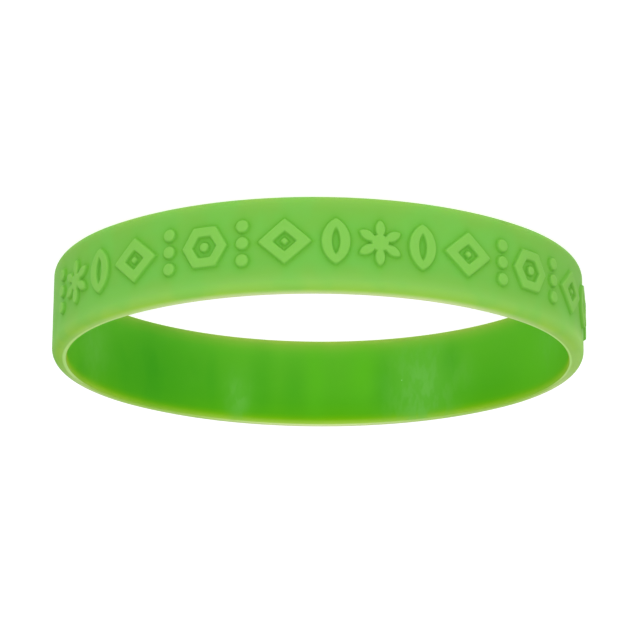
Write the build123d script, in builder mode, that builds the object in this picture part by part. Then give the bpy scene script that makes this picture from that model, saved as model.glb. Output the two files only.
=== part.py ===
"""Embossed silicone wristband.

A closed one-piece band, lying on its rim. The plan is a slightly flattened loop, drawn as an
oval of four quarter arcs. A frieze of raised motifs runs round about half of the outside.

Origin: middle of the loop, on the surface that the band lies on. +Z is up, +X runs along the
long way across the loop, and -Y is the middle of the front.
"""

import os
from math import copysign, cos, pi, sin, sqrt

from build123d import *

# Loop, measured over the outer wall
long_width = 68.0
short_width = 61.2
band_width = 12.0
wall = 1.9
outer_round = 1.25
inner_round = 0.15

# Frieze: distances along the outer wall are measured from the middle of the front towards +X
relief_height = 0.4
relief_root = 0.3
frieze_middle = -7.4
motif_gap = 0.9
stroke = 1.35
corner_round = 0.25
tip_round = 0.12

# Motifs: sizes across and up the band
tall = 6.0
petal_width = 1.35
petals = 6
eye_radius = 1.1
leaf_width = 3.6
vein_width = 0.8
diamond_width = 6.8
seed_width = 1.3
hexagon_height = 5.2
stud_radius = 0.65
bead_radius = 0.85
bead_pitch = 2.15
beads = 3

# Four-arc oval: two end arcs and two side arcs of a quarter turn each, tangent where they meet.
# The end arcs' centres are the flattening along X from the middle, and the side arcs' along Y.
flattening = (long_width - short_width) / 2 / (2 - sqrt(2))
end_radius = long_width / 2 - flattening
side_radius = short_width / 2 + flattening


def oval(outward):
    """The loop's plan outline, moved outward from the outer wall by a distance."""
    with BuildSketch() as outline:
        with BuildLine():
            CenterArc((flattening, 0), end_radius + outward, -45, 90)
            CenterArc((0, -flattening), side_radius + outward, 45, 90)
            CenterArc((-flattening, 0), end_radius + outward, 135, 90)
            CenterArc((0, flattening), side_radius + outward, 225, 90)
        make_face()
    return outline.sketch


def wall_plane(along):
    """The plane that touches the outer wall at a distance along it, at half the band's width."""
    reach = abs(along)
    front_reach = side_radius * pi / 4
    end_reach = front_reach + end_radius * pi / 2
    if reach <= front_reach:
        turn = reach / side_radius
        centre = (0, flattening)
        radius = side_radius
    elif reach <= end_reach:
        turn = pi / 4 + (reach - front_reach) / end_radius
        centre = (copysign(flattening, along), 0)
        radius = end_radius
    else:
        turn = 3 * pi / 4 + (reach - end_reach) / side_radius
        centre = (0, -flattening)
        radius = side_radius
    turn = copysign(turn, along)
    outward = Vector(sin(turn), -cos(turn), 0)
    touch = Vector(centre[0], centre[1], band_width / 2) + outward * radius
    return Plane(origin=touch, x_dir=(cos(turn), sin(turn), 0), z_dir=outward)


def leaf_outline(length, width):
    """A leaf standing on its tip: two equal arcs, with the tips a little blunt."""
    with BuildSketch() as outline:
        with BuildLine():
            ThreePointArc((0, -length / 2), (width / 2, 0), (0, length / 2))
            ThreePointArc((0, length / 2), (-width / 2, 0), (0, -length / 2))
        make_face()
        fillet(outline.vertices(), radius=tip_round)
    return outline.sketch


def rosette():
    """Petals standing round a plain eye."""
    petal_start = eye_radius / 2
    petal_length = tall / 2 - petal_start
    with BuildSketch() as motif:
        Circle(eye_radius)
        with PolarLocations(petal_start + petal_length / 2, petals, start_angle=90):
            add(leaf_outline(petal_length, petal_width), rotation=90)
    return motif.sketch


def split_leaf():
    """A leaf with a sunk vein along its middle."""
    with BuildSketch() as motif:
        add(leaf_outline(tall, leaf_width))
        add(leaf_outline(tall - 2 * stroke, vein_width), mode=Mode.SUBTRACT)
    return motif.sketch


def diamond_ring():
    """A diamond outline with a small diamond in it."""
    right = (diamond_width / 2, 0)
    top = (0, tall / 2)
    seed_right = (seed_width / 2, 0)
    seed_top = (0, seed_width / 2)
    with BuildSketch() as inside:
        Polygon(right, top, (-right[0], 0), (0, -top[1]))
        offset(amount=-stroke, kind=Kind.INTERSECTION, mode=Mode.REPLACE)
    with BuildSketch() as motif:
        Polygon(right, top, (-right[0], 0), (0, -top[1]))
        fillet(motif.vertices(), radius=corner_round)
        add(inside.sketch, mode=Mode.SUBTRACT)
        Polygon(seed_right, seed_top, (-seed_right[0], 0), (0, -seed_top[1]))
    return motif.sketch


def hexagon_ring():
    """A six-sided outline, flat at its top and bottom, round a stud."""
    flat = hexagon_height / 2
    with BuildSketch() as motif:
        RegularPolygon(flat, 6, major_radius=False)
        fillet(motif.vertices(), radius=corner_round)
        RegularPolygon(flat - stroke, 6, major_radius=False, mode=Mode.SUBTRACT)
        Circle(stud_radius)
    return motif.sketch


def bead_column():
    """Round beads, one above another."""
    with BuildSketch() as motif:
        with GridLocations(0, bead_pitch, 1, beads):
            Circle(bead_radius)
    return motif.sketch


# Each motif, and the length of wall that it takes
motifs = {
    "rosette": (rosette(), tall * cos(pi / petals)),
    "leaf": (split_leaf(), leaf_width),
    "diamond": (diamond_ring(), diamond_width),
    "beads": (bead_column(), 2 * bead_radius),
    "hexagon": (hexagon_ring(), hexagon_height / cos(pi / 6)),
}

# The frieze reads the same both ways from the rosette in its middle
half_frieze = ["leaf", "diamond", "beads", "hexagon", "beads", "diamond", "leaf", "rosette", "beads"]
frieze = half_frieze[::-1] + ["rosette"] + half_frieze


def frieze_places():
    """The place of each motif's middle along the wall, with even gaps between the motifs."""
    widths = [motifs[name][1] for name in frieze]
    start = frieze_middle - (sum(widths) + motif_gap * (len(widths) - 1)) / 2
    places = []
    for width in widths:
        places.append(start + width / 2)
        start += width + motif_gap
    return places


# Raised motifs: each is pushed through the wall, then cut to a skin that follows the wall
skin_height = tall + 2 * stroke
curve_drop = (tall / 2) ** 2 / end_radius
with BuildPart() as relief:
    for name, along in zip(frieze, frieze_places()):
        with BuildSketch(wall_plane(along)):
            add(motifs[name][0])
    extrude(amount=relief_height + relief_root + curve_drop, both=True)
    with BuildSketch(Plane.XY.offset((band_width - skin_height) / 2)):
        add(oval(relief_height))
        add(oval(-relief_root), mode=Mode.SUBTRACT)
    extrude(amount=skin_height, mode=Mode.INTERSECT)

# Band: a wall of even thickness, well rounded outside and nearly sharp inside
with BuildPart() as band:
    with BuildSketch():
        add(oval(0))
    extrude(amount=band_width)
    fillet(band.edges().filter_by(GeomType.CIRCLE), radius=outer_round)
    with BuildSketch():
        add(oval(-wall))
    extrude(amount=band_width, mode=Mode.SUBTRACT)
    fillet(band.edges(Select.LAST).filter_by(GeomType.CIRCLE), radius=inner_round)
    add(relief.part)

band.part.label = "band"

os.makedirs("parts", exist_ok=True)
export_step(band.part, "parts/band.step")
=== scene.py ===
import math
from collections import namedtuple

import bpy
import numpy as np
from mathutils import Matrix, Vector
from mathutils.geometry import delaunay_2d_cdt


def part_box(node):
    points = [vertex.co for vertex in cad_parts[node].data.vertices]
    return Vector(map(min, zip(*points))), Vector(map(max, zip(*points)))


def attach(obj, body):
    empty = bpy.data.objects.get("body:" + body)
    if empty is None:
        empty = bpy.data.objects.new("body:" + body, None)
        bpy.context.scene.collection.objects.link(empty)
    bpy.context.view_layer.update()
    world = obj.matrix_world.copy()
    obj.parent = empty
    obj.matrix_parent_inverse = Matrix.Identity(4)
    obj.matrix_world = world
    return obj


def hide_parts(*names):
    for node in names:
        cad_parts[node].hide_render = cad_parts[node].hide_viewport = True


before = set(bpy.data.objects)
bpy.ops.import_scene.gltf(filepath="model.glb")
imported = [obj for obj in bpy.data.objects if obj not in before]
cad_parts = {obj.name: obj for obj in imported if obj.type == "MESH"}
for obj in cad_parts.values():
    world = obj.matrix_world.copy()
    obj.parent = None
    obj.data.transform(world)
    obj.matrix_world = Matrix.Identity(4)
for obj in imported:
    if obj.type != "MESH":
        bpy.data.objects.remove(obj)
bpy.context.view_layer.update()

# Lengths are in millimetres until a mesh is made
MM = 0.001

# Loop: the outside sizes come from the frame
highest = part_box("band")[1]
LONG_HALF = highest.x / MM
SHORT_HALF = highest.y / MM
BAND_WIDTH = highest.z / MM
WALL = 1.9
OUTER_ROUND = 1.25
INNER_ROUND = 0.15
FLATTENING = (LONG_HALF - SHORT_HALF) / (2 - math.sqrt(2))
END_RADIUS = LONG_HALF - FLATTENING
SIDE_RADIUS = SHORT_HALF + FLATTENING
FRONT_REACH = SIDE_RADIUS * math.pi / 4
END_REACH = FRONT_REACH + END_RADIUS * math.pi / 2
LOOP = 2 * END_REACH + 2 * FRONT_REACH

# Frieze: distances along the outer wall run from the middle of the front towards +X
RELIEF = 0.4
FRIEZE_MIDDLE = -7.4
MOTIF_GAP = 0.9
STROKE = 1.35
TALL = 6.0
PETAL_WIDTH = 1.35
PETALS = 6
EYE_RADIUS = 1.1
LEAF_WIDTH = 3.6
VEIN_WIDTH = 0.8
DIAMOND_WIDTH = 6.8
SEED_WIDTH = 1.3
HEXAGON_HEIGHT = 5.2
STUD_RADIUS = 0.65
BEAD_RADIUS = 0.85
BEAD_PITCH = 2.15
SOFT_CORNER = 0.11

# Relief edge: it starts to rise this far outside a motif's outline and is level this far inside
FOOT = 0.08
BROW = 0.2
EDGE_STEPS = 7
# Painted shade beside a motif fades over this distance on the ground
CREVICE_SHADE_REACH = 0.3
HALO_LOOPS = (0.2, 0.38)

# Rim: rings of points on its flat, and where the pale strip of painted highlight, the painted glow and the
# painted glints come in
RIM_RINGS = (1.29, 1.38, 1.46, 1.54, 1.62)
STRIP_FADE = 0.14
GLOW_START = 1.2
GLOW_FADE = 0.3
GLINT_START = 0.5
GLINT_FADE = 0.85

# Rim's painted light at a place along the wall: how far in the strip starts, and how much it and the glow
# show
RimLook = namedtuple("RimLook", "along strip_start strip glow")
RIM_LOOKS = [
    RimLook(-101.7, 1.3, 0.0, 0.0),
    RimLook(-88.0, 1.3, 0.0, 0.15),
    RimLook(-78.0, 1.3, 0.0, 0.8),
    RimLook(-63.0, 1.42, 0.0, 1.0),
    RimLook(-56.0, 1.46, 0.8, 0.2),
    RimLook(-50.0, 1.46, 1.0, 0.0),
    RimLook(-30.0, 1.46, 1.0, 0.0),
    RimLook(-15.0, 1.38, 1.0, 0.0),
    RimLook(36.0, 1.38, 1.0, 0.0),
    RimLook(46.0, 1.3, 1.0, 0.0),
    RimLook(57.0, 1.29, 0.9, 0.1),
    RimLook(64.0, 1.29, 0.0, 1.0),
    RimLook(76.0, 1.29, 0.0, 0.9),
    RimLook(88.0, 1.3, 0.0, 0.15),
]

# Patch of colour: its place along the wall and up from the middle of the width, and how much of it shows
Patch = namedtuple("Patch", "along up half_length half_height share")

# Hazy, deep and light patches are inside, rim highlight and front glint patches are on the rim, back edge
# highlight patches are on both sides of the rim's inner edge, and the others are outside. The rim's
# patches are painted highlights, deep, shade and cool patches are painted shade, light and pale patches
# are painted light, and hazy patches are partly the silicone's own haze and partly painted light.
PATCHES = {
    # Paler haze inside: partly the silicone's own cloudiness, partly painted light
    "hazy": [
        Patch(63.0, 0.5, 3.0, 4.0, 0.5),
        Patch(89.8, 2.6, 1.7, 3.4, 0.7),
        Patch(-85.9, 1.8, 4.5, 6.5, 1.0),
        Patch(-80.0, 0.5, 2.5, 3.0, 0.3),
        Patch(-60.5, -1.0, 3.0, 3.5, 0.45),
        Patch(-22.0, -1.0, 3.5, 4.0, 0.6),
        Patch(24.0, 1.0, 2.0, 4.5, 0.5),
    ],
    # Painted shade on the inner wall
    "deep": [
        Patch(76.0, 0.5, 9.5, 7.5, 1.0),
        Patch(85.5, 0.5, 2.0, 5.0, 0.6),
        Patch(93.0, 0.0, 2.0, 5.0, 0.5),
        Patch(98.0, 1.0, 1.8, 4.5, 0.35),
        Patch(-74.0, 3.0, 5.0, 4.5, 0.3),
        Patch(-81.3, -1.8, 1.6, 2.5, 0.6),
        Patch(-91.8, 0.5, 1.4, 4.0, 0.5),
        Patch(-5.0, 0.0, 8.0, 6.0, 0.7),
        Patch(40.0, 0.5, 6.0, 5.0, 0.6),
        Patch(59.5, 4.4, 3.2, 2.0, 0.45),
    ],
    "light": [
        Patch(-61.0, 0.5, 11.0, 8.0, 1.0),
        Patch(-94.8, -1.0, 2.2, 4.0, 0.7),
        Patch(101.0, 0.0, 1.4, 5.0, 0.5),
        Patch(56.0, 4.0, 5.0, 3.0, 0.6),
    ],
    "shade": [
        Patch(45.0, -1.5, 14.0, 6.5, 0.35),
        Patch(-42.0, -1.5, 13.0, 6.5, 0.6),
    ],
    # Painted light near the rim at the -X end
    "pale": [
        Patch(-50.0, 5.2, 12.0, 1.5, 0.6),
        Patch(-48.0, 6.0, 5.0, 0.8, 0.8),
    ],
    # Painted shade near the rim at the +X end: greener, with less of the painted rim light
    "cool": [
        Patch(57.0, 5.4, 9.0, 1.4, 0.5),
    ],
    # Painted highlights along the rim's edge towards both ends
    "rim_highlight": [
        Patch(78.0, 6.0, 10.0, 0.12, 0.5),
        Patch(65.0, 6.0, 9.0, 0.3, 0.68),
        Patch(-78.0, 6.0, 10.0, 0.12, 0.5),
        Patch(-63.0, 6.0, 9.0, 0.3, 0.68),
    ],
    # Painted glints on the front rim's flat
    "front_glint": [
        Patch(6.0, 6.0, 24.0, 0.16, 1.0),
        Patch(-13.0, 6.0, 18.5, 0.16, 1.0),
    ],
    # Painted highlight line along the back rim's inner edge
    "back_edge_highlight": [
        Patch(101.7, 6.0, 18.0, 0.1, 1.0),
    ],
}

# Mesh spacing
COLUMN_STEP = 0.6
ROW_STEP = 0.6
SKIN_STEP = 0.4
OUTLINE_STEP = 0.11
FEWEST_POINTS = 12
FIELD_STEP = 0.05
FIELD_HALF = 4.0
CORNER_STEPS = 12
SOFT_STEPS = 3
INNER_ROWS = 20
MERGE_DISTANCE = 1e-7

# Columns of points between each end of the frieze and the plain part
COLUMNS_BEFORE = 2
COLUMNS_AFTER = 3


def soft_abs(value):
    """The size of a value, rounded where it crosses zero."""
    return np.sqrt(value**2 + SOFT_CORNER**2)


def soft_larger(one, other):
    """The larger of two values, rounded where they cross."""
    return (one + other + soft_abs(one - other)) / 2


def soft_smaller(one, other):
    """The smaller of two values, rounded where they cross."""
    return -soft_larger(-one, -other)


# Shapes: each says how far points are outside its outline, and below zero inside it
def ring_of(distance, stroke):
    """A stroke along the inside of an outline."""
    return np.abs(distance + stroke / 2) - stroke / 2


def disc(x, y, radius):
    """A plain disc."""
    return np.hypot(x, y) - radius


def leaf(x, y, length, width):
    """Two equal arcs that meet in blunt tips, above and below."""
    radius = (length**2 + width**2) / (4 * width)
    return np.hypot(soft_abs(x) + radius - width / 2, y) - radius


def diamond(x, y, width, height):
    """A diamond standing on its point."""
    outside = soft_abs(x) * height + soft_abs(y) * width - width * height / 2
    return outside / math.hypot(width, height)


def rosette(x, y):
    """Petals standing round a plain eye."""
    share = 2 * math.pi / PETALS
    turn = np.arctan2(x, y)
    turn -= share * np.round(turn / share)
    away = np.hypot(x, y)
    start = EYE_RADIUS / 2
    length = TALL / 2 - start
    petal = leaf(away * np.sin(turn), away * np.cos(turn) - start - length / 2, length, PETAL_WIDTH)
    return soft_smaller(petal, disc(x, y, EYE_RADIUS))


def split_leaf(x, y):
    """A leaf with a sunk vein along its middle."""
    return np.maximum(leaf(x, y, TALL, LEAF_WIDTH), -leaf(x, y, TALL - 2 * STROKE, VEIN_WIDTH))


def diamond_ring(x, y):
    """A diamond outline with a small diamond in it."""
    outline = ring_of(diamond(x, y, DIAMOND_WIDTH, TALL), STROKE)
    return np.minimum(outline, diamond(x, y, SEED_WIDTH, SEED_WIDTH))


def hexagon_ring(x, y):
    """A six-sided outline, flat at its top and bottom, round a stud."""
    flat = HEXAGON_HEIGHT / 2
    slope = soft_abs(x) * math.cos(math.pi / 6) + np.abs(y) * math.sin(math.pi / 6)
    outline = ring_of(soft_larger(np.abs(y), slope) - flat, STROKE)
    return np.minimum(outline, disc(x, y, STUD_RADIUS))


def bead_column(x, y):
    """Round beads, one above another."""
    return disc(x, np.maximum(np.abs(y) - BEAD_PITCH, -np.abs(y)), BEAD_RADIUS)


# Motif: its shape, and the length of wall that it takes
Motif = namedtuple("Motif", "shape length")
MOTIFS = {
    "rosette": Motif(rosette, TALL * math.cos(math.pi / PETALS)),
    "leaf": Motif(split_leaf, LEAF_WIDTH),
    "diamond": Motif(diamond_ring, DIAMOND_WIDTH),
    "beads": Motif(bead_column, 2 * BEAD_RADIUS),
    "hexagon": Motif(hexagon_ring, HEXAGON_HEIGHT / math.cos(math.pi / 6)),
}
HALF_FRIEZE = ["leaf", "diamond", "beads", "hexagon", "beads", "diamond", "leaf", "rosette", "beads"]
FRIEZE = HALF_FRIEZE[::-1] + ["rosette"] + HALF_FRIEZE


def frieze_places():
    """The place of each motif's middle along the wall, and the frieze's two ends."""
    lengths = [MOTIFS[name].length for name in FRIEZE]
    total = sum(lengths) + MOTIF_GAP * (len(lengths) - 1)
    start = FRIEZE_MIDDLE - total / 2
    places = []
    for length in lengths:
        places.append(start + length / 2)
        start += length + MOTIF_GAP
    return places, FRIEZE_MIDDLE - total / 2, FRIEZE_MIDDLE + total / 2


PLACES, FRIEZE_START, FRIEZE_END = frieze_places()


def outside_motifs(along, up):
    """How far points of the wall are outside the nearest motif's outline, and below zero inside one."""
    distance = np.full(np.shape(along), FIELD_HALF)
    for name, place in zip(FRIEZE, PLACES):
        near = np.abs(along - place) < FIELD_HALF
        outside = MOTIFS[name].shape(along[near] - place, up[near])
        distance[near] = np.minimum(distance[near], outside)
    return distance


def share_raised(distance):
    """How far the relief has risen, from 0 on the ground to 1 on a motif."""
    share = np.clip((FOOT - distance) / (FOOT + BROW), 0, 1)
    return share * share * (3 - 2 * share)


def on_wall(along, outward, up):
    """Points of the band: along the outer wall, out from it, and up from the middle of its width."""
    reach = np.abs(along)
    side = np.where(along < 0, -1.0, 1.0)
    on_front = reach <= FRONT_REACH
    on_end = ~on_front & (reach <= END_REACH)
    front_turn = reach / SIDE_RADIUS
    end_turn = math.pi / 4 + (reach - FRONT_REACH) / END_RADIUS
    back_turn = 3 * math.pi / 4 + (reach - END_REACH) / SIDE_RADIUS
    turn = np.where(on_front, front_turn, np.where(on_end, end_turn, back_turn))
    radius = np.where(on_end, END_RADIUS, SIDE_RADIUS) + outward
    middle_x = np.where(on_end, FLATTENING, 0.0)
    middle_y = np.where(on_front, FLATTENING, np.where(on_end, 0.0, -FLATTENING))
    x = side * (middle_x + radius * np.sin(turn))
    y = middle_y - radius * np.cos(turn)
    z = BAND_WIDTH / 2 + up
    return np.stack([x, y, z], axis=-1)


def walked_loops(values, level, ticks):
    """Closed loops on which a gridded field crosses a level, walked from square to square."""
    inside = values < level
    links = {}
    mixed = inside[:-1, :-1].astype(int) + inside[1:, :-1] + inside[1:, 1:] + inside[:-1, 1:]
    for i, j in np.argwhere((mixed > 0) & (mixed < 4)):
        corners = [(i, j), (i + 1, j), (i + 1, j + 1), (i, j + 1)]
        sides = zip(corners, corners[1:] + corners[:1])
        cut = [tuple(sorted(side)) for side in sides if inside[side[0]] != inside[side[1]]]
        for one, other in zip(cut[::2], cut[1::2]):
            links.setdefault(one, []).append(other)
            links.setdefault(other, []).append(one)
    loops = []
    while links:
        here = next(iter(links))
        walked = []
        while here in links:
            walked.append(here)
            ways = links.pop(here)
            here = next((way for way in ways if way in links), None)
        loops.append(np.array([crossing(values, level, ticks, *side) for side in walked]))
    return loops


def crossing(values, level, ticks, one, other):
    """Where the field crosses the level between two neighbouring points of the grid."""
    share = (level - values[one]) / (values[other] - values[one])
    start = np.array([ticks[one[0]], ticks[one[1]]])
    end = np.array([ticks[other[0]], ticks[other[1]]])
    return start + share * (end - start)


def evened(loop, step):
    """The same closed loop with its points a step apart."""
    closed = np.vstack([loop, loop[:1]])
    gone = np.concatenate([[0.0], np.cumsum(np.hypot(*np.diff(closed, axis=0).T))])
    count = max(FEWEST_POINTS, round(gone[-1] / step))
    at = np.arange(count) * gone[-1] / count
    return np.stack([np.interp(at, gone, closed[:, 0]), np.interp(at, gone, closed[:, 1])], axis=-1)


def edge_loops(shape):
    """A motif's halo loops on the ground, and the loops of its raised edge from foot to brow."""
    ticks = np.arange(-FIELD_HALF, FIELD_HALF + FIELD_STEP / 2, FIELD_STEP)
    x, y = np.meshgrid(ticks, ticks, indexing="ij")
    values = shape(x, y)
    levels = [*HALO_LOOPS, *np.linspace(FOOT, -BROW, EDGE_STEPS)]
    loops = [loop for level in levels for loop in walked_loops(values, level, ticks)]
    return [evened(loop, OUTLINE_STEP) for loop in loops]


def section_rings():
    """The section's outline as outward and up distances, from the foot of the outer wall round."""
    flat_half = BAND_WIDTH / 2 - OUTER_ROUND
    rows = round(2 * flat_half / ROW_STEP)
    outer = [(0.0, up) for up in np.linspace(-flat_half, flat_half, rows + 1)]
    top = []
    for turn in np.linspace(0, math.pi / 2, CORNER_STEPS + 1)[1:]:
        top.append((OUTER_ROUND * (math.cos(turn) - 1), flat_half + OUTER_ROUND * math.sin(turn)))
    top += [(-depth, BAND_WIDTH / 2) for depth in RIM_RINGS]
    flat_end = -WALL + INNER_ROUND
    for turn in np.linspace(0, math.pi / 2, SOFT_STEPS + 1):
        drop = INNER_ROUND * (1 - math.cos(turn))
        top.append((flat_end - INNER_ROUND * math.sin(turn), BAND_WIDTH / 2 - drop))
    inner_half = BAND_WIDTH / 2 - INNER_ROUND
    inner = [(-WALL, up) for up in np.linspace(inner_half, -inner_half, INNER_ROWS + 1)[1:-1]]
    bottom = [(outward, -up) for outward, up in reversed(top)]
    return np.array(outer + top + inner + bottom), len(outer)


def plain_part(alongs, rings, wall_rows, first, last):
    """Points and faces off the frieze's stretch, and the points' numbers by column and ring."""
    flat = []
    faces = []
    number = np.full((len(alongs), len(rings)), -1)
    for k in range(len(alongs)):
        for j in range(len(rings)):
            if first < k < last and 0 < j < wall_rows - 1:
                continue
            number[k, j] = len(flat)
            flat.append((alongs[k], rings[j][0], rings[j][1]))
    for k in range(len(alongs)):
        right = (k + 1) % len(alongs)
        for j in range(len(rings)):
            if first <= k < last and j < wall_rows - 1:
                continue
            above = (j + 1) % len(rings)
            faces.append((number[k, j], number[right, j], number[right, above], number[k, above]))
    return flat, faces, number


def stretch_border(wall_rows, first, last):
    """The columns and rings round the stretch that carries the frieze, in order."""
    border = [(k, 0) for k in range(first, last + 1)]
    border += [(last, j) for j in range(1, wall_rows)]
    border += [(k, wall_rows - 1) for k in range(last - 1, first - 1, -1)]
    border += [(first, j) for j in range(wall_rows - 2, 0, -1)]
    return border


def closing_lines(start, count):
    """The lines that join a run of points into a closed loop."""
    return [(start + i, start + (i + 1) % count) for i in range(count)]


def frieze_skin(border):
    """The frieze's stretch, within its border's points: points, triangles and the points' origins."""
    skin = list(border)
    lines = closing_lines(0, len(border))
    shapes = {name: edge_loops(motif.shape) for name, motif in MOTIFS.items()}
    for name, place in zip(FRIEZE, PLACES):
        for loop in shapes[name]:
            lines += closing_lines(len(skin), len(loop))
            skin += [(x + place, y) for x, y in loop]
    start, foot = np.min(border, axis=0)
    end, top = np.max(border, axis=0)
    grid_along = np.arange(start + SKIN_STEP, end - SKIN_STEP / 2, SKIN_STEP)
    grid_up = np.arange(foot + SKIN_STEP, top - SKIN_STEP / 2, SKIN_STEP)
    spots = np.stack(np.meshgrid(grid_along, grid_up), axis=-1).reshape(-1, 2)
    spots = np.vstack([spots, spots[spots[:, 1] < top - SKIN_STEP] + SKIN_STEP / 2])
    away = outside_motifs(spots[:, 0], spots[:, 1])
    clear = (away > HALO_LOOPS[-1] + OUTLINE_STEP) | (away < -BROW - OUTLINE_STEP)
    skin += [tuple(spot) for spot in spots[clear]]
    made = delaunay_2d_cdt([Vector(spot) for spot in skin], lines, [], 0, MERGE_DISTANCE)
    return np.array([tuple(point) for point in made[0]]), made[2], made[3]


def band_surface():
    """The band's points, as along, outward and up distances, and its faces."""
    rings, wall_rows = section_rings()
    columns = round(LOOP / COLUMN_STEP)
    step = LOOP / columns
    alongs = -LOOP / 2 + step * np.arange(columns)
    first = int((FRIEZE_START - COLUMNS_BEFORE * step + LOOP / 2) / step)
    last = int((FRIEZE_END + COLUMNS_AFTER * step + LOOP / 2) / step)
    flat, faces, number = plain_part(alongs, rings, wall_rows, first, last)
    border = stretch_border(wall_rows, first, last)
    places, triangles, origins = frieze_skin([(alongs[k], rings[j][1]) for k, j in border])
    raised = share_raised(outside_motifs(places[:, 0], places[:, 1]))
    renumber = []
    for place, rise, origin in zip(places, raised, origins):
        if origin and origin[0] < len(border):
            renumber.append(number[border[origin[0]]])
            continue
        renumber.append(len(flat))
        flat.append((place[0], RELIEF * rise, place[1]))
    faces += [tuple(renumber[i] for i in triangle) for triangle in triangles]
    return np.array(flat), faces


def patched(along, up, patches):
    """How much of the patches' colour shows at points of the wall, from 0 to 1."""
    most = np.zeros(np.shape(along))
    for patch in patches:
        gap = (along - patch.along + LOOP / 2) % LOOP - LOOP / 2
        fall = (gap / patch.half_length) ** 2 + ((up - patch.up) / patch.half_height) ** 2
        most = np.maximum(most, patch.share * np.exp(-fall))
    return most


def share_in(depth, start, length):
    """How far something that starts at a depth into the wall has come in, from 0 to 1."""
    return np.clip((depth - start) / length, 0, 1)


def point_layers(along, outward, up):
    """The numbers that the mesh carries at its points for the material, by name."""
    away = outside_motifs(along, up)
    away[outward <= -OUTER_ROUND] = FIELD_HALF
    raised = share_raised(away)
    depth = -outward
    inside = share_in(depth, WALL - INNER_ROUND, INNER_ROUND / 2)
    places, *looks = zip(*RIM_LOOKS)
    strip_start, strip, glow = [np.interp(along, places, look, period=LOOP) for look in looks]
    layers = {
        "raised": raised,
        # near: painted shade in the crevices beside the motifs, fading away from them
        "near": np.exp(-np.clip(away, 0, None) / CREVICE_SHADE_REACH) * (1 - raised),
        "inside": inside,
        # Painted highlight on the rim's flat
        "strip": share_in(depth, strip_start, STRIP_FADE) * strip * (1 - inside),
        # Painted glow near the rim, mostly at the ends
        "glow": share_in(depth, GLOW_START, GLOW_FADE) * glow * (1 - inside),
    }
    for name, patches in PATCHES.items():
        layers[name] = patched(along, up, patches)
    # Painted glints on the front rim and a painted highlight line along the back rim's inner edge join the
    # rim's painted highlights
    front_glint = layers.pop("front_glint") * share_in(depth, GLINT_START, GLINT_FADE)
    back_edge_highlight = layers.pop("back_edge_highlight")
    layers["rim_highlight"] = np.maximum(np.maximum(layers["rim_highlight"], front_glint) * (1 - inside), back_edge_highlight)
    return layers


def build_band():
    """The band as one closed mesh, with its layers of numbers."""
    flat, faces = band_surface()
    points = on_wall(*flat.T) * MM
    mesh = bpy.data.meshes.new("silicone_band")
    corners = [tuple(point) for point in points]
    mesh.from_pydata(corners, [], [tuple(int(i) for i in face) for face in faces])
    mesh.validate()
    mesh.polygons.foreach_set("use_smooth", [True] * len(mesh.polygons))
    for name, values in point_layers(*flat.T).items():
        attribute = mesh.attributes.new(name, "FLOAT", "POINT")
        attribute.data.foreach_set("value", np.asarray(values, np.float32))
    piece = bpy.data.objects.new("silicone_band", mesh)
    bpy.context.scene.collection.objects.link(piece)
    print("band mesh", len(points), "points", sum(len(face) - 2 for face in faces), "triangles")
    return piece


# Silicone colours, linear, with painted light and shade in them. Each ramp has heights in the width, in
# millimetres, and the colours there.
# Outside: painted light makes the rounded edges towards both rims paler and yellower
OUTSIDE_RAMP = [
    (0.0, (0.270, 0.505, 0.078)),
    (0.9, (0.218, 0.490, 0.073)),
    (1.8, (0.187, 0.468, 0.063)),
    (2.8, (0.174, 0.474, 0.062)),
    (8.6, (0.169, 0.470, 0.066)),
    (9.8, (0.192, 0.480, 0.069)),
    (10.7, (0.226, 0.512, 0.085)),
    (11.2, (0.254, 0.545, 0.087)),
    (11.5, (0.274, 0.558, 0.081)),
    (11.7, (0.290, 0.575, 0.073)),
    (11.85, (0.312, 0.605, 0.062)),
    (11.95, (0.322, 0.635, 0.058)),
    (12.0, (0.345, 0.670, 0.072)),
]
# Inside: painted shade makes the inner wall deeper green than the outside, and painted glow yellows it
# near both rims
INSIDE_RAMP = [
    (0.0, (0.365, 0.500, 0.085)),
    (0.7, (0.210, 0.480, 0.040)),
    (1.2, (0.165, 0.470, 0.028)),
    (1.8, (0.122, 0.455, 0.021)),
    (2.6, (0.106, 0.446, 0.017)),
    (5.0, (0.097, 0.434, 0.014)),
    (7.0, (0.092, 0.430, 0.012)),
    (9.0, (0.084, 0.414, 0.007)),
    (10.5, (0.092, 0.420, 0.003)),
    (10.9, (0.118, 0.434, 0.001)),
    (11.2, (0.172, 0.465, 0.001)),
    (11.6, (0.275, 0.515, 0.016)),
    (11.9, (0.325, 0.540, 0.045)),
]
RAISED_COLOUR = (0.210, 0.520, 0.082)
# Painted shade in the crevices beside the motifs
CREVICE_SHADE_COLOUR = (0.108, 0.410, 0.016)
# Painted highlight on the rim's flat
STRIP_HIGHLIGHT_COLOUR = (0.490, 0.845, 0.222)
# Painted glow near the rim
GLOW_COLOUR = (0.365, 0.645, 0.092)
# Painted highlights on the rim
RIM_HIGHLIGHT_COLOUR = (0.720, 0.870, 0.400)
# Cooler green: the silicone's own tone at random, and painted shade at the +X end
COOL_COLOUR = (0.155, 0.530, 0.084)
# Painted light near the rim at the -X end
LIT_END_COLOUR = (0.380, 0.690, 0.140)
SHADE_COLOUR = (0.178, 0.420, 0.062)
LIGHT_COLOUR = (0.103, 0.482, 0.010)
# Paler haze inside, partly painted light
HAZY_COLOUR = (0.148, 0.490, 0.062)
# Painted shade inside
DEEP_SHADE_COLOUR = (0.048, 0.342, 0.007)
SPECK_COLOUR = (0.260, 0.640, 0.160)
CREVICE_SHADE_SHARE = 0.7

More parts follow.
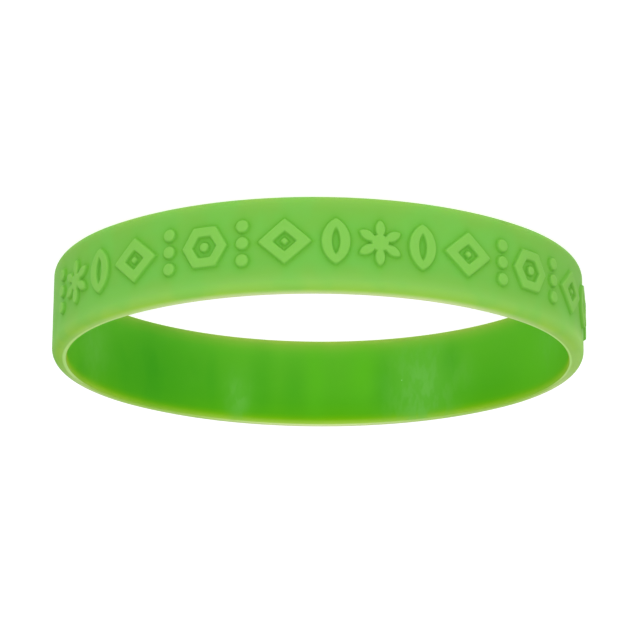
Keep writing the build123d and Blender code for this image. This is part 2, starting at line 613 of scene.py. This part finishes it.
# Cloudy patches: their size across and up, their place in the noise, and the least and most that shows
Clouds = namedtuple("Clouds", "across up seed least most")
COOL_CLOUDS = Clouds(5.0, 5.0, 3.0, 0.0, 0.35)
DEEP_CLOUDS = Clouds(4.0, 8.0, 7.0, 0.8, 1.0)
HAZY_CLOUDS = Clouds(1.2, 2.5, 5.0, 0.5, 1.0)
ROUGHNESS_CLOUDS = Clouds(5.0, 5.0, 9.0, 0.6, 0.72)
CLOUD_NOISE_LOW = 0.4
CLOUD_NOISE_HIGH = 0.65
NOISE_DETAIL = 2.0

# Deep and light patches inside thin out between these two heights, to this share
PATCH_FADE_LOW = 10.3
PATCH_FADE_HIGH = 11.5
PATCH_FADE_SHARE = 0.58

# Specks of dust inside: one to each square this large, of this radius, and how few of them show
SPECK_SQUARE = 3.0
SPECK_RADIUS = 0.09
SPECK_SHARE = 0.25

# Very fine grain of the mould's surface
GRAIN = 0.3
GRAIN_DEPTH = 0.004

# Silicone has little gloss, and light goes a short way into it
SPECULAR = 0.06
SUBSURFACE = 0.35
SUBSURFACE_RADIUS = (1.0, 1.0, 0.4)
SUBSURFACE_SCALE = 0.4


def node_of(tree, kind, inputs, **settings):
    """A shader node with its settings, its inputs given as values or as other nodes' outputs."""
    node = tree.nodes.new(kind)
    for name, value in settings.items():
        setattr(node, name, value)
    for key, value in inputs.items():
        if isinstance(value, bpy.types.NodeSocket):
            tree.links.new(value, node.inputs[key])
        else:
            node.inputs[key].default_value = value
    return node


def mixed(tree, share, one, other):
    """A colour on the way from a node's colour to another, given as numbers or as a node's too."""
    if not isinstance(other, bpy.types.NodeSocket):
        other = (*other, 1)
    return node_of(tree, "ShaderNodeMix", {0: share, 6: one, 7: other}, data_type="RGBA").outputs[2]


def math_node(tree, kind, one, other):
    """A number worked out from two others, in the way that is named."""
    return node_of(tree, "ShaderNodeMath", {0: one, 1: other}, operation=kind).outputs[0]


def smooth_range(tree, value, limits):
    """A value taken smoothly from one range to another: the first range's ends, then the second's."""
    names = ("From Min", "From Max", "To Min", "To Max")
    inputs = {"Value": value, **dict(zip(names, limits))}
    return node_of(tree, "ShaderNodeMapRange", inputs, interpolation_type="SMOOTHSTEP").outputs[0]


def ramp(tree, place, stops):
    """A colour read off a ramp over the band's width."""
    node = node_of(tree, "ShaderNodeValToRGB", {"Fac": place})
    elements = node.color_ramp.elements
    for element, (height, colour) in zip((elements[0], elements[1]), (stops[0], stops[-1])):
        element.position = height / BAND_WIDTH
        element.color = (*colour, 1)
    for height, colour in stops[1:-1]:
        elements.new(height / BAND_WIDTH).color = (*colour, 1)
    return node.outputs["Color"]


def layer(tree, name):
    """A number that the mesh carries at each of its points."""
    return node_of(tree, "ShaderNodeAttribute", {}, attribute_name=name).outputs["Fac"]


def clouded(tree, place, clouds):
    """Soft patches, between the least and the most that they show."""
    scale = (1 / (clouds.across * MM), 1 / (clouds.across * MM), 1 / (clouds.up * MM))
    moved = {"Vector": place, "Scale": scale, "Location": (clouds.seed, clouds.seed, clouds.seed)}
    spot = node_of(tree, "ShaderNodeMapping", moved).outputs[0]
    noise = node_of(tree, "ShaderNodeTexNoise", {"Vector": spot, "Scale": 1.0, "Detail": NOISE_DETAIL})
    limits = (CLOUD_NOISE_LOW, CLOUD_NOISE_HIGH, clouds.least, clouds.most)
    return smooth_range(tree, noise.outputs["Fac"], limits)


def specks(tree, place):
    """A few tiny round specks, 1 on a speck and 0 beside it."""
    scale = 1 / (SPECK_SQUARE * MM)
    cells = node_of(tree, "ShaderNodeTexVoronoi", {"Vector": place, "Scale": scale}, feature="F1")
    near = math_node(tree, "LESS_THAN", cells.outputs["Distance"], SPECK_RADIUS / SPECK_SQUARE)
    chance = node_of(tree, "ShaderNodeSeparateColor", {0: cells.outputs["Color"]}).outputs[0]
    shown = math_node(tree, "LESS_THAN", chance, SPECK_SHARE)
    return math_node(tree, "MULTIPLY", near, shown)


def outer_colour(tree, place, share_up):
    """The outer wall: painted light makes it paler and yellower towards the rims and near the rim at one
    end, it is paler on the motifs and cooler at random, and painted shade deepens it towards the ends and
    beside the motifs.
    """
    # A cool tone of the silicone at random, and painted shade near the rim at the +X end
    cool = math_node(tree, "MAXIMUM", clouded(tree, place, COOL_CLOUDS), layer(tree, "cool"))
    ground = mixed(tree, cool, ramp(tree, share_up, OUTSIDE_RAMP), COOL_COLOUR)
    colour = mixed(tree, layer(tree, "raised"), ground, RAISED_COLOUR)
    colour = mixed(tree, layer(tree, "shade"), colour, SHADE_COLOUR)
    # Painted light near the rim at the -X end
    colour = mixed(tree, layer(tree, "pale"), colour, LIT_END_COLOUR)
    # Painted shade in the crevices beside the motifs
    crevice_shade = math_node(tree, "MULTIPLY", layer(tree, "near"), CREVICE_SHADE_SHARE)
    return mixed(tree, crevice_shade, colour, CREVICE_SHADE_COLOUR)


def inner_colour(tree, place, share_up):
    """The inner wall: deep green from painted shade, between edges yellowed by painted glow, with patches
    of painted shade, painted light and haze, and a few specks.
    """
    limits = (PATCH_FADE_LOW / BAND_WIDTH, PATCH_FADE_HIGH / BAND_WIDTH, 1.0, PATCH_FADE_SHARE)
    fade = smooth_range(tree, share_up, limits)
    # Patches of painted shade inside, broken up by clouds
    deep = math_node(tree, "MULTIPLY", layer(tree, "deep"), clouded(tree, place, DEEP_CLOUDS))
    hazy = math_node(tree, "MULTIPLY", layer(tree, "hazy"), clouded(tree, place, HAZY_CLOUDS))
    light = math_node(tree, "MULTIPLY", layer(tree, "light"), fade)
    colour = mixed(tree, light, ramp(tree, share_up, INSIDE_RAMP), LIGHT_COLOUR)
    colour = mixed(tree, math_node(tree, "MULTIPLY", deep, fade), colour, DEEP_SHADE_COLOUR)
    colour = mixed(tree, hazy, colour, HAZY_COLOUR)
    return mixed(tree, specks(tree, place), colour, SPECK_COLOUR)


def grain(tree, place):
    """Very fine bumps."""
    fine = {"Vector": place, "Scale": 1 / (GRAIN * MM), "Detail": NOISE_DETAIL}
    noise = node_of(tree, "ShaderNodeTexNoise", fine)
    bumps = {"Height": noise.outputs["Fac"], "Distance": GRAIN_DEPTH * MM, "Strength": 1.0}
    return node_of(tree, "ShaderNodeBump", bumps).outputs["Normal"]


def silicone():
    """Soft, slightly translucent lime-green silicone."""
    material = bpy.data.materials.new("silicone")
    material.use_nodes = True
    tree = material.node_tree
    shader = tree.nodes["Principled BSDF"]
    place = node_of(tree, "ShaderNodeTexCoord", {}).outputs["Object"]
    height = node_of(tree, "ShaderNodeSeparateXYZ", {0: place}).outputs["Z"]
    share_up = math_node(tree, "MULTIPLY", height, 1 / (BAND_WIDTH * MM))
    outside = outer_colour(tree, place, share_up)
    colour = mixed(tree, layer(tree, "inside"), outside, inner_colour(tree, place, share_up))
    # Painted highlight on the rim's flat
    colour = mixed(tree, layer(tree, "strip"), colour, STRIP_HIGHLIGHT_COLOUR)
    # Painted highlights on the rim's edges
    colour = mixed(tree, layer(tree, "rim_highlight"), colour, RIM_HIGHLIGHT_COLOUR)
    # Painted glow near the rim
    colour = mixed(tree, layer(tree, "glow"), colour, GLOW_COLOUR)
    tree.links.new(colour, shader.inputs["Base Color"])
    tree.links.new(grain(tree, place), shader.inputs["Normal"])
    tree.links.new(clouded(tree, place, ROUGHNESS_CLOUDS), shader.inputs["Roughness"])
    shader.inputs["Specular IOR Level"].default_value = SPECULAR
    shader.inputs["Subsurface Weight"].default_value = SUBSURFACE
    shader.inputs["Subsurface Radius"].default_value = SUBSURFACE_RADIUS
    shader.inputs["Subsurface Scale"].default_value = SUBSURFACE_SCALE * MM
    return material


# Floor: plain and pale, a hair below the band, and giving off a little light itself
FLOOR_HALF = 3000.0
FLOOR_LEVEL = -0.02
FLOOR_COLOUR = (0.35, 0.35, 0.35, 1)
FLOOR_ROUGHNESS = 0.9
FLOOR_GLOW = 0.85
WHITE = (1, 1, 1, 1)


def build_floor():
    """The plain square that the band lies on."""
    half = FLOOR_HALF * MM
    level = FLOOR_LEVEL * MM
    corners = [(-half, -half, level), (half, -half, level), (half, half, level), (-half, half, level)]
    mesh = bpy.data.meshes.new("floor")
    mesh.from_pydata(corners, [], [(0, 1, 2, 3)])
    floor = bpy.data.objects.new("floor", mesh)
    bpy.context.scene.collection.objects.link(floor)
    material = bpy.data.materials.new("pale_floor")
    material.use_nodes = True
    shader = material.node_tree.nodes["Principled BSDF"]
    shader.inputs["Base Color"].default_value = FLOOR_COLOUR
    shader.inputs["Roughness"].default_value = FLOOR_ROUGHNESS
    shader.inputs["Emission Color"].default_value = WHITE
    shader.inputs["Emission Strength"].default_value = FLOOR_GLOW
    mesh.materials.append(material)


# Camera: as the photograph was taken, from the side that shows the rim, and turned over with it
VIEW_ELEVATION = math.radians(17.71)
VIEW_DISTANCE = 389.0
VIEW_ROLL = math.radians(-0.31)
PHOTO_SIDE = 640
FOCAL_PX = 3023.0
BAND_MIDDLE_PX = (318.0, 319.5)
SENSOR = 36.0
NEAR_CLIP = 10.0
FAR_CLIP = 20000.0


def build_camera():
    """A camera above the floor, rolled by half a turn, so that the band lies as photographed."""
    right = Vector((-1, 0, 0))
    up = Vector((0, -math.sin(VIEW_ELEVATION), -math.cos(VIEW_ELEVATION)))
    back = Vector((0, -math.cos(VIEW_ELEVATION), math.sin(VIEW_ELEVATION)))
    rolled_right = math.cos(VIEW_ROLL) * right - math.sin(VIEW_ROLL) * up
    rolled_up = math.sin(VIEW_ROLL) * right + math.cos(VIEW_ROLL) * up
    per_px = VIEW_DISTANCE / FOCAL_PX
    aside = (PHOTO_SIDE / 2 - BAND_MIDDLE_PX[0]) * per_px
    below = (PHOTO_SIDE / 2 - BAND_MIDDLE_PX[1]) * per_px
    middle = Vector((0, 0, BAND_WIDTH / 2))
    place = middle + back * VIEW_DISTANCE + rolled_right * aside - rolled_up * below
    data = bpy.data.cameras.new("camera")
    data.sensor_width = SENSOR
    data.lens = FOCAL_PX / PHOTO_SIDE * SENSOR
    data.clip_start = NEAR_CLIP * MM
    data.clip_end = FAR_CLIP * MM
    camera = bpy.data.objects.new("camera", data)
    turn = Matrix((rolled_right, rolled_up, back)).transposed().to_4x4()
    camera.matrix_world = Matrix.Translation(place * MM) @ turn
    bpy.context.scene.collection.objects.link(camera)
    bpy.context.scene.camera = camera


# Light: a white studio, brighter on the camera's side. The camera sees it plain white.
KEY_DIRECTION = (-0.05, -0.91, 0.4)
KEY_STRENGTH = 1.4
FILL_STRENGTH = 0.42


def build_light():
    """Light from all round, strongest from the key's direction and even on the other side."""
    world = bpy.data.worlds.new("studio")
    world.use_nodes = True
    tree = world.node_tree
    direction = node_of(tree, "ShaderNodeTexCoord", {}).outputs["Generated"]
    sides = {0: direction, 1: KEY_DIRECTION}
    towards = node_of(tree, "ShaderNodeVectorMath", sides, operation="DOT_PRODUCT").outputs["Value"]
    strength = smooth_range(tree, towards, (0.0, 1.0, FILL_STRENGTH, KEY_STRENGTH))
    seen = node_of(tree, "ShaderNodeLightPath", {}).outputs["Is Camera Ray"]
    background = tree.nodes["Background"]
    background.inputs["Color"].default_value = WHITE
    tree.links.new(math_node(tree, "MAXIMUM", strength, seen), background.inputs["Strength"])
    bpy.context.scene.world = world


bpy.context.scene.view_settings.view_transform = "Standard"
build_camera()
build_light()
build_floor()
band = build_band()
band.data.materials.append(silicone())
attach(band, "root")
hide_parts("band")
